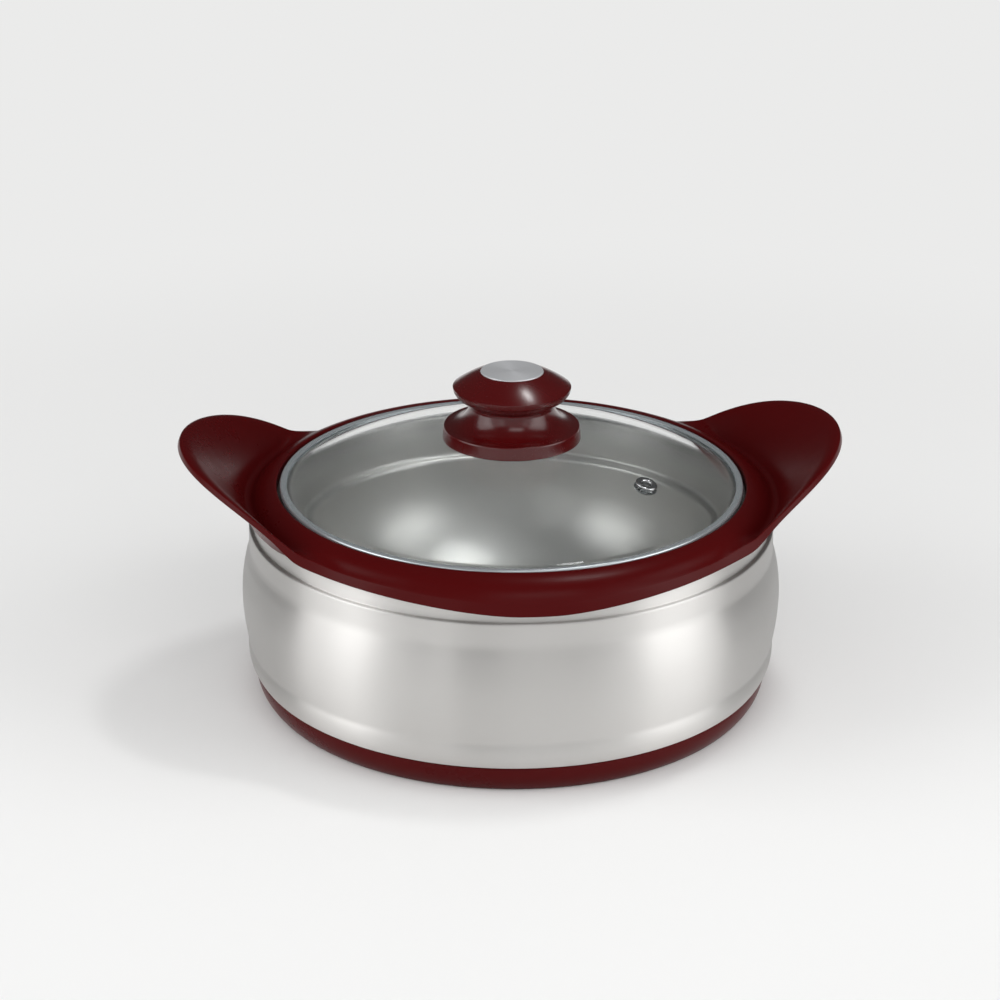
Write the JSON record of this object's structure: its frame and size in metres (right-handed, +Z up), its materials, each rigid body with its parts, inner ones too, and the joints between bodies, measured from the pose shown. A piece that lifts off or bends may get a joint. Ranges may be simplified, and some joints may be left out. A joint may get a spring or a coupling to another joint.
{
  "type": "insulated casserole",
  "caption": "Double-walled steel serving casserole with two upswept plastic wing handles, a plastic foot and a lift-off domed glass lid with a steam vent and a turned knob.",
  "frame": {"origin": "on the table under the middle of the base", "axes": "+Z up; the two wing handles lie along +X and -X; -Y is the front, with the steam vent to its right"},
  "size_m": [0.307, 0.2524, 0.1535],
  "materials": {
    "shell_steel": "polished",
    "bowl_steel": "satin",
    "foam": "rigid foam",
    "dark_plastic": "gloss, dark maroon",
    "seal_rubber": "matte",
    "clear_glass": "clear, toughened",
    "bright_metal": "polished",
    "cap_metal": "satin",
    "insert_brass": "turned"
  },
  "bodies": {
    "casserole": {"outer_shell": "shell_steel", "inner_bowl": "bowl_steel", "foam_insulation": "foam", "base_ring": "dark_plastic", "base_plate": "dark_plastic", "fill_plug": "dark_plastic", "bowl_seal": "seal_rubber", "collar": "dark_plastic"},
    "lid": {"steel_rim": "bowl_steel", "glass_dome": "clear_glass", "vent_eyelet": "bright_metal", "vent_washer": "bright_metal", "knob_flange": "dark_plastic", "knob_grip": "dark_plastic", "knob_cap": "cap_metal", "knob_insert": "insert_brass", "knob_screw": "bright_metal", "screw_washer": "bright_metal", "seal_washer_upper": "seal_rubber", "seal_washer_lower": "seal_rubber"}
  },
  "joints": [
    {"name": "lid_lift", "type": "slide", "parent": "casserole", "child": "lid", "axis": [0, 0, 1], "range_m": [0, 0.12]}
  ]
}
